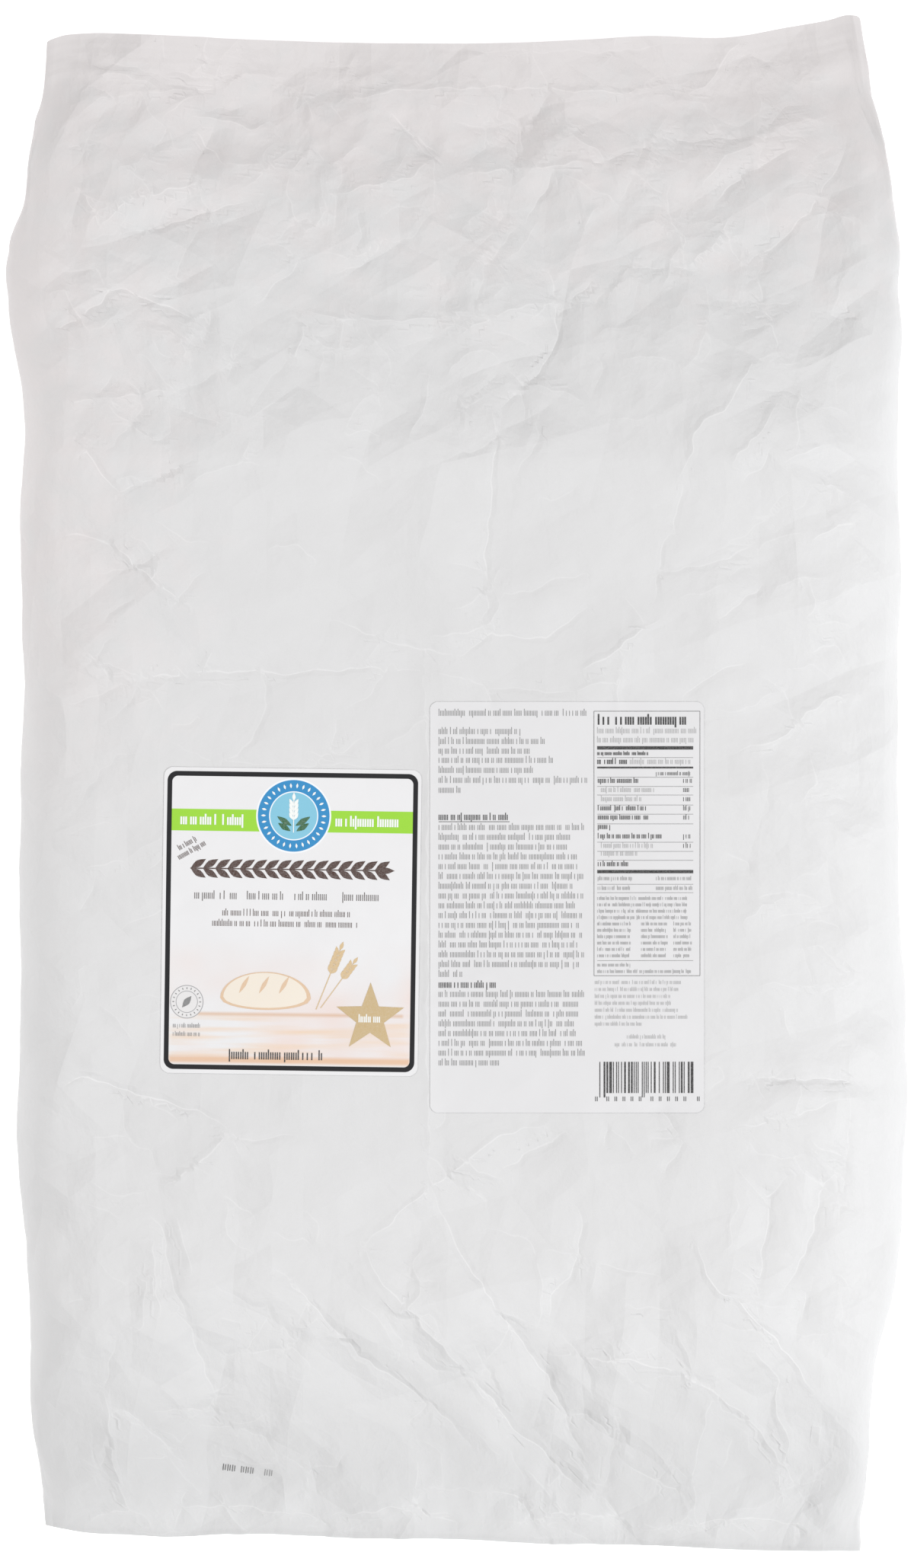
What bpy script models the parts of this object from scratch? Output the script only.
"""A filled paper sack of flour, lying on its back with the labelled front up.

The frame is in metres. Z is up, X runs across the sack and Y along it, with the top hem at +Y.
The origin is at the middle of the box that the sack fills, on the surface that it lies on.
"""
import math
from collections import namedtuple

import bmesh
import bpy
import numpy as np
from mathutils import Matrix

MM = 0.001

# Driving sizes of the filled sack
SACK_WIDTH = 340 * MM
SACK_LENGTH = 588 * MM
SACK_DEPTH = 118 * MM

# The pressed band at the top and the seam strip at the bottom
HEM_BAND = 18 * MM
HEM_HEIGHT = 31 * MM
HEM_THICKNESS = 3.6 * MM
SEAM_BAND = 3.5 * MM
SEAM_HEIGHT = 27 * MM
SEAM_THICKNESS = 4.2 * MM

# Both thin ends wave up and down a little across the sack
END_WAVE = 2.2 * MM
END_WAVE_LENGTH = 165 * MM

# How the filled body rounds off between the two ends
SECTION_SQUARENESS = 4.2
SIDE_HEIGHT = 51 * MM
SINK = 6 * MM
TOP_REACH = 150 * MM
TOP_ROUNDNESS = 1.2
BOTTOM_REACH = 96 * MM
BOTTOM_ROUNDNESS = 1.6
BACK_REACH = 74 * MM
BACK_ROUNDNESS = 1.75
SLACK_AT_TOP = 15 * MM
SLACK_REACH = 330 * MM

# The gusset folds that tuck in at both ends of each side
GUSSET_DEPTH = 13 * MM
GUSSET_START = 8 * MM
GUSSET_END = 125 * MM

# Half widths of the outline at stations along the length, from the bottom seam to the top hem, as
# they show at half height to an eye high above: a fold that stands higher seems to lie further out
LEFT_EDGE = ((-294, 155.5), (-275, 157.2), (-261, 158.9), (-246, 161), (-232, 162.1), (-203, 161.8),
             (-174, 164.2), (-145, 165.9), (-130, 166.5), (-101, 164.7), (-72, 165.3), (-29, 165),
             (58, 163.6), (101, 165.6), (130, 163.9), (159, 165), (174, 167.6), (188, 169.7), (202, 170.2),
             (217, 167.3), (231, 162.7), (246, 161.6), (260, 159.5), (275, 156.3), (294, 155))
RIGHT_EDGE = ((-294, 152), (-275, 152.9), (-246, 155.2), (-217, 157.8), (-203, 161.3), (-188, 164.7),
              (-174, 166.8), (-145, 168.5), (-101, 169.4), (-58, 167.9), (0, 166.5), (72, 166.5),
              (101, 167.1), (130, 166.2), (159, 167.6), (174, 167.9), (188, 166.5), (202, 167.1),
              (217, 165.6), (231, 163.6), (246, 160.7), (260, 158.4), (275, 155.2), (294, 152))
EYE_HEIGHT = 2.75
OUTLINE_HEIGHT = 50 * MM
# How far the two cut ends lie from the middle, at stations across the width
TOP_EDGE = ((-157, 284.1), (-140, 286.8), (-122, 286.5), (-87, 285), (-52, 283.9), (-20, 283.3), (20, 283.3),
            (52, 284.7), (70, 285.9), (105, 285.9), (122, 289.1), (140, 292.3), (153, 294.3))
BOTTOM_EDGE = ((-157, 283.6), (-140, 286.8), (-122, 287.6), (-105, 288.2), (-87, 287.1), (-35, 288.5),
               (0, 289.1), (35, 291.1), (70, 291.4), (105, 292.9), (153, 293.7))

# Facet sizes of the solid
FRONT_FACET = 9.2 * MM
SIDE_FACET = 14 * MM
BACK_FACET = 19 * MM
END_ROW = 5.5 * MM
BODY_ROW = 10 * MM
END_ROW_REACH = 60 * MM

Fold = namedtuple("Fold", "points rise spread")

# The largest folds of the front: their lines in millimetres, how high they stand (a valley is
# negative) and how wide their straight flanks are on either side
FOLDS = (
    # upper left, the V and the facets under it
    Fold(((-158, 166), (-139, 174), (-123, 186), (-95, 172)), 3.0, 20),
    Fold(((-150, 146), (-131, 142), (-94, 151)), -2.2, 17),
    Fold(((-147, 143), (-124, 109), (-95, 122)), 2.0, 18),
    Fold(((-148, 94), (-94, 65)), -2.2, 20),
    # across the middle, above the labels
    Fold(((-128, 33), (-85, 42), (-38, 44), (17, 33)), 1.8, 18),
    # the tall fold of the upper middle
    Fold(((40, 176), (31, 154), (17, 139), (14, 116), (9, 64), (-1, 49)), -3.0, 22),
    Fold(((-58, 172), (-10, 175), (34, 172)), 2.2, 18),
    # under the top hem, from left to right
    Fold(((-142, 223), (-131, 206)), 2.4, 14),
    Fold(((-131, 208), (-121, 217), (-89, 225)), 3.2, 15),
    Fold(((-124, 203), (-90, 211), (-75, 216)), -2.6, 14),
    Fold(((-98, 244), (-87, 230), (-62, 227)), -3.2, 16),
    Fold(((-96, 250), (-76, 243), (-66, 249)), 2.6, 14),
    Fold(((-62, 229), (-52, 237), (-24, 248)), 2.6, 15),
    Fold(((-45, 218), (-18, 224), (-7, 233), (19, 227), (36, 229), (54, 232)), -3.4, 17),
    Fold(((24, 247), (19, 227), (27, 211)), 2.4, 15),
    Fold(((54, 232), (75, 239), (112, 240), (131, 241)), -3.0, 16),
    Fold(((113, 238), (99, 231), (92, 217)), 2.8, 15),
    Fold(((126, 235), (107, 227), (94, 212)), -2.6, 15),
    Fold(((147, 241), (131, 214), (113, 197)), -3.0, 18),
    Fold(((103, 212), (94, 200), (83, 191)), 2.8, 16),
    Fold(((118, 290), (104, 273), (86, 254)), 3.0, 14),
    # upper right
    Fold(((160, 190), (139, 172), (108, 153), (88, 133), (81, 113)), -2.6, 20),
    Fold(((57, 49), (100, 72), (145, 93)), -2.6, 19),
    # lower right, the strong cross folds and the long edge to the corner
    Fold(((104, -109), (146, -109.5), (166, -114)), -3.4, 16),
    Fold(((115, -150), (111, -193)), 2.4, 14),
    Fold(((89, -172), (96, -187), (121, -206), (131, -224)), -3.4, 20),
    Fold(((51, -213), (87, -221), (104, -231), (129, -264)), 3.0, 16),
    # the long diagonals of the lower middle
    Fold(((34, -125), (-10, -154), (-36, -172)), 1.8, 20),
    Fold(((-36, -172), (-10, -203), (14, -231), (49, -264)), -2.6, 17),
    Fold(((-10, -154), (14, -203), (42, -237), (56, -249)), 2.4, 17),
    Fold(((-65, -180), (-29, -221), (34, -264)), 2.0, 17),
    # lower left
    Fold(((-162, -108), (-100, -121), (-84, -129), (-108, -163)), 2.4, 20),
    Fold(((-108, -157), (-107, -180), (-100, -201)), -2.0, 18),
)

# The two stuck labels: their centres, sizes, corner radii and turn, and how they lie on the sack
LABEL_CLEARANCE = 0.3 * MM
LABEL_THICKNESS = 0.4 * MM
CORNER_STEPS = 4
FRONT_LABEL_SIZE = (95.5 * MM, 113.5 * MM)
FRONT_LABEL_CENTRE = (-61.3 * MM, -51.3 * MM)
FRONT_LABEL_CORNER = 3.5 * MM
FRONT_LABEL_TURN = math.radians(-0.8)
INFO_LABEL_SIZE = (101.6 * MM, 152.4 * MM)
INFO_LABEL_CENTRE = (41.1 * MM, -46.0 * MM)
INFO_LABEL_CORNER = 3.0 * MM
INFO_LABEL_TURN = 0.0

# Surface finishes
PAPER_COLOUR = (0.80, 0.79, 0.80, 1.0)
FRONT_LABEL_COLOUR = (0.86, 0.83, 0.78, 1.0)
INFO_LABEL_COLOUR = (0.86, 0.86, 0.87, 1.0)
PAPER_ROUGHNESS = 0.62
LABEL_ROUGHNESS = 0.38


def clear_scene():
    for thing in list(bpy.data.objects):
        bpy.data.objects.remove(thing, do_unlink=True)


def make_material(name, colour, roughness):
    material = bpy.data.materials.new(name)
    material.use_nodes = True
    shader = material.node_tree.nodes["Principled BSDF"]
    shader.inputs["Base Color"].default_value = colour
    shader.inputs["Roughness"].default_value = roughness
    shader.inputs["Metallic"].default_value = 0.0
    return material


def through(stations, at):
    """A smooth line through stations given in millimetres, read at places in metres."""
    places = np.array([station[0] for station in stations]) * MM
    values = np.array([station[1] for station in stations]) * MM
    slopes = np.gradient(values, places)
    at = np.clip(at, places[0], places[-1])
    index = np.clip(np.searchsorted(places, at) - 1, 0, len(places) - 2)
    gap = places[index + 1] - places[index]
    t = (at - places[index]) / gap
    return (values[index] * (1 + 2 * t) * (1 - t) ** 2 + slopes[index] * gap * t * (1 - t) ** 2
            + values[index + 1] * t ** 2 * (3 - 2 * t) + slopes[index + 1] * gap * t ** 2 * (t - 1))


def quarter_rise(distance, reach, roundness):
    """0 at the end of the sack and 1 from reach on: a wedge at roundness 1, a quarter circle at 2."""
    t = np.clip(distance / reach, 0, 1)
    return (1 - (1 - t) ** roundness) ** (1 / roundness)


def even_steps(fine_places, spacing_there):
    """Places along a line whose steps follow the spacing that is wanted at each place."""
    steps = np.diff(fine_places, axis=0)
    lengths = np.hypot(*steps.T) if steps.ndim > 1 else np.abs(steps)
    count = np.concatenate([[0], np.cumsum(lengths / spacing_there[1:])])
    return np.interp(np.linspace(0, count[-1], round(count[-1]) + 1), count, np.arange(len(count)))


def section_angles():
    """Angles round the section, from the middle of the back, by the facet size of each face."""
    angles = np.linspace(-math.pi / 2, 1.5 * math.pi, 4001)
    across, rise = section_shape(angles)
    outline = np.column_stack([across * SACK_WIDTH / 2, rise * SACK_DEPTH / 2])
    spacing = np.interp(rise, [-0.9, -0.6, 0.6, 0.9], [BACK_FACET, SIDE_FACET, SIDE_FACET, FRONT_FACET])
    return np.interp(even_steps(outline, spacing), np.arange(len(angles)), angles)


def section_shape(angles):
    """Across and up, each from -1 to 1, of a section with flat faces and rounded shoulders."""
    power = 2 / SECTION_SQUARENESS
    cosine, sine = np.cos(angles), np.sin(angles)
    return np.sign(cosine) * np.abs(cosine) ** power, np.sign(sine) * np.abs(sine) ** power


def row_places():
    """Distances of the rows from the bottom end: one on each band edge, and closer near the ends."""
    fine = np.linspace(SEAM_BAND, SACK_LENGTH - HEM_BAND, 2001)
    to_end = np.minimum(fine - SEAM_BAND, SACK_LENGTH - HEM_BAND - fine)
    spacing = np.interp(to_end, [0, END_ROW_REACH], [END_ROW, BODY_ROW])
    body = np.interp(even_steps(fine, spacing), np.arange(len(fine)), fine)
    return np.concatenate([[0], body, [SACK_LENGTH - HEM_BAND / 2, SACK_LENGTH]])


def fold_height(x, y, fold):
    """Height that one fold adds at each place: two straight flanks that meet in a crease."""
    line = np.array(fold.points) * MM
    lengths = np.hypot(*np.diff(line, axis=0).T)
    nearest = np.full(x.shape, np.inf)
    along = np.zeros(x.shape)
    for start, end, length, before in zip(line[:-1], line[1:], lengths, np.cumsum(lengths) - lengths):
        step = (end - start) / length
        run = np.clip((x - start[0]) * step[0] + (y - start[1]) * step[1], 0, length)
        distance = np.hypot(x - start[0] - run * step[0], y - start[1] - run * step[1])
        closer = distance < nearest
        nearest = np.where(closer, distance, nearest)
        along = np.where(closer, before + run, along)
    share = along / lengths.sum()
    taper = np.clip(np.minimum(share, 1 - share) * 4 + 0.35, 0, 1)
    return fold.rise * MM * taper * np.clip(1 - nearest / (fold.spread * MM), 0, 1)


def sack_surface():
    """Points of the sack's skin, row by row from the bottom, column by column round the section."""
    across, rise = section_shape(section_angles())
    from_bottom = row_places()[:, None]
    from_top = SACK_LENGTH - from_bottom
    middle = from_bottom - SACK_LENGTH / 2

    half_width = np.where(across < 0, through(LEFT_EDGE, middle), through(RIGHT_EDGE, middle))
    x = half_width * across
    low_end = through(BOTTOM_EDGE, x)
    high_end = through(TOP_EDGE, x)
    y = -low_end + (low_end + high_end) * from_bottom / SACK_LENGTH

    past_seam = from_bottom - SEAM_BAND
    past_hem = from_top - HEM_BAND
    towards_top = np.clip(1 - past_hem / SLACK_REACH, 0, 1)
    crown = SACK_DEPTH - SLACK_AT_TOP * towards_top ** 2
    near_top = past_hem < past_seam
    wave = END_WAVE * np.sin(2 * math.pi * x / END_WAVE_LENGTH)
    end_height = np.where(near_top, HEM_HEIGHT, SEAM_HEIGHT) + np.where(near_top, wave, -wave)
    end_thickness = np.where(near_top, HEM_THICKNESS, SEAM_THICKNESS)
    front_rise = np.minimum(quarter_rise(past_seam, BOTTOM_REACH, BOTTOM_ROUNDNESS),
                            quarter_rise(past_hem, TOP_REACH, TOP_ROUNDNESS))
    back_rise = quarter_rise(np.minimum(past_seam, past_hem), BACK_REACH, BACK_ROUNDNESS)

    side = end_height + (SIDE_HEIGHT - end_height) * back_rise
    front = end_height + end_thickness / 2 + (crown - end_height - end_thickness / 2) * front_rise
    back = end_height - end_thickness / 2 - (end_height - end_thickness / 2 + SINK) * back_rise
    z = np.where(rise > 0, side + (front - side) * rise, side - (side - back) * -rise)

    faces_up = np.clip((rise - 0.55) / 0.3, 0, 1)
    off_bands = np.clip(np.minimum(past_seam, past_hem) / (12 * MM), 0, 1)
    for fold in FOLDS:
        z = z + faces_up * off_bands * fold_height(x, y, fold)
    z = np.maximum(z, 0)

    to_end = np.minimum(past_seam, past_hem)
    span = np.clip((to_end - GUSSET_START) / (GUSSET_END - GUSSET_START), 0, 1)
    tuck = GUSSET_DEPTH * np.sin(math.pi * span ** 0.6) * np.clip(1 - np.abs(rise) / 0.75, 0, 1)
    x = hold_outline(x - np.sign(across) * tuck, z, across, half_width)
    return fit_to_size(x, y, z)


def hold_outline(x, z, across, half_width):
    """Each row widened on either side until its outermost fold shows at the half width there."""
    shown = np.abs(x) * (EYE_HEIGHT - OUTLINE_HEIGHT) / (EYE_HEIGHT - z)
    for side in (across < 0, across > 0):
        widen = half_width[:, side].max(axis=1) / shown[:, side].max(axis=1)
        x = np.where(side, x * widen[:, None], x)
    return x


def fit_to_size(x, y, z):
    """The same skin with its box exactly at the driving sizes and centred on the origin."""
    x = (x - (x.min() + x.max()) / 2) * SACK_WIDTH / (x.max() - x.min())
    y = (y - (y.min() + y.max()) / 2) * SACK_LENGTH / (y.max() - y.min())
    z = z * SACK_DEPTH / z.max()
    return np.stack(np.broadcast_arrays(x, y, z), axis=-1)


def make_sack(material):
    """A flat sheet rolled into the sack's tube, joined along its back and shut at both ends."""
    points = sack_surface()
    rows, columns = points.shape[:2]
    skin = bmesh.new()
    bmesh.ops.create_grid(skin, x_segments=columns - 1, y_segments=rows - 1, size=0.5)
    for vertex in skin.verts:
        column = round((vertex.co.x + 0.5) * (columns - 1))
        row = round((vertex.co.y + 0.5) * (rows - 1))
        vertex.co = points[row, column]
    bmesh.ops.remove_doubles(skin, verts=skin.verts, dist=0.01 * MM)
    bmesh.ops.holes_fill(skin, edges=skin.edges, sides=0)
    bmesh.ops.triangulate(skin, faces=skin.faces, ngon_method="BEAUTY")
    bmesh.ops.recalc_face_normals(skin, faces=skin.faces)
    mesh = bpy.data.meshes.new("sack")
    skin.to_mesh(mesh)
    skin.free()
    mesh.shade_smooth()
    mesh.set_sharp_from_angle(angle=math.radians(30))
    mesh.materials.append(material)
    sack = bpy.data.objects.new("sack", mesh)
    bpy.context.collection.objects.link(sack)
    return sack


def rounded_prism(name, size, corner, height):
    """An upright block with rounded corners, standing on its own origin."""
    block = bmesh.new()
    corners = []
    for quarter, (side_x, side_y) in enumerate(((1, 1), (-1, 1), (-1, -1), (1, -1))):
        for step in range(CORNER_STEPS + 1):
            angle = (quarter + step / CORNER_STEPS) * math.pi / 2
            corners.append(block.verts.new((side_x * (size[0] / 2 - corner) + corner * math.cos(angle),
                                            side_y * (size[1] / 2 - corner) + corner * math.sin(angle), 0)))
    floor = block.faces.new(corners)
    lid = bmesh.ops.extrude_face_region(block, geom=[floor])
    raised = [item for item in lid["geom"] if isinstance(item, bmesh.types.BMVert)]
    bmesh.ops.translate(block, verts=raised, vec=(0, 0, height))
    bmesh.ops.recalc_face_normals(block, faces=block.faces)
    mesh = bpy.data.meshes.new(name)
    block.to_mesh(mesh)
    block.free()
    prism = bpy.data.objects.new(name, mesh)
    bpy.context.collection.objects.link(prism)
    return prism


def front_skin_over(sack, name, centre, size):
    """A thin sheet that follows the sack's front, a little larger than the label that is cut from it."""
    margin = 2.2 * BODY_ROW
    sheet = bmesh.new()
    sheet.from_mesh(sack.data)
    unwanted = [face for face in sheet.faces
                if face.normal.z < 0.3
                or abs(face.calc_center_median().x - centre[0]) > size[0] / 2 + margin
                or abs(face.calc_center_median().y - centre[1]) > size[1] / 2 + margin]
    bmesh.ops.delete(sheet, geom=unwanted, context="FACES")
    bmesh.ops.translate(sheet, verts=sheet.verts, vec=(0, 0, LABEL_CLEARANCE))
    top = bmesh.ops.extrude_face_region(sheet, geom=list(sheet.faces))
    raised = [item for item in top["geom"] if isinstance(item, bmesh.types.BMVert)]
    bmesh.ops.translate(sheet, verts=raised, vec=(0, 0, LABEL_THICKNESS))
    bmesh.ops.recalc_face_normals(sheet, faces=sheet.faces)
    mesh = bpy.data.meshes.new(name)
    sheet.to_mesh(mesh)
    sheet.free()
    skin = bpy.data.objects.new(name, mesh)
    bpy.context.collection.objects.link(skin)
    return skin


def make_label(sack, name, centre, size, corner, turn, material):
    """A stuck label: the part of a sheet over the sack's front that lies inside a rounded rectangle."""
    label = front_skin_over(sack, name, centre, size)
    cutter = rounded_prism(name + "_outline", size, corner, 2 * SACK_DEPTH)
    cutter.matrix_world = Matrix.Translation((*centre, 0)) @ Matrix.Rotation(turn, 4, "Z")
    cutter.hide_render = True
    cutter.display_type = "WIRE"
    trim = label.modifiers.new("trim", "BOOLEAN")
    trim.operation = "INTERSECT"
    trim.solver = "EXACT"
    trim.object = cutter
    label.data.materials.append(material)
    return label


def main():
    clear_scene()
    paper = make_material("white sack paper", PAPER_COLOUR, PAPER_ROUGHNESS)
    printed = make_material("printed front label", FRONT_LABEL_COLOUR, LABEL_ROUGHNESS)
    plain = make_material("white information label", INFO_LABEL_COLOUR, LABEL_ROUGHNESS)
    sack = make_sack(paper)
    make_label(sack, "front_label", FRONT_LABEL_CENTRE, FRONT_LABEL_SIZE, FRONT_LABEL_CORNER,
               FRONT_LABEL_TURN, printed)
    make_label(sack, "info_label", INFO_LABEL_CENTRE, INFO_LABEL_SIZE, INFO_LABEL_CORNER,
               INFO_LABEL_TURN, plain)


main()
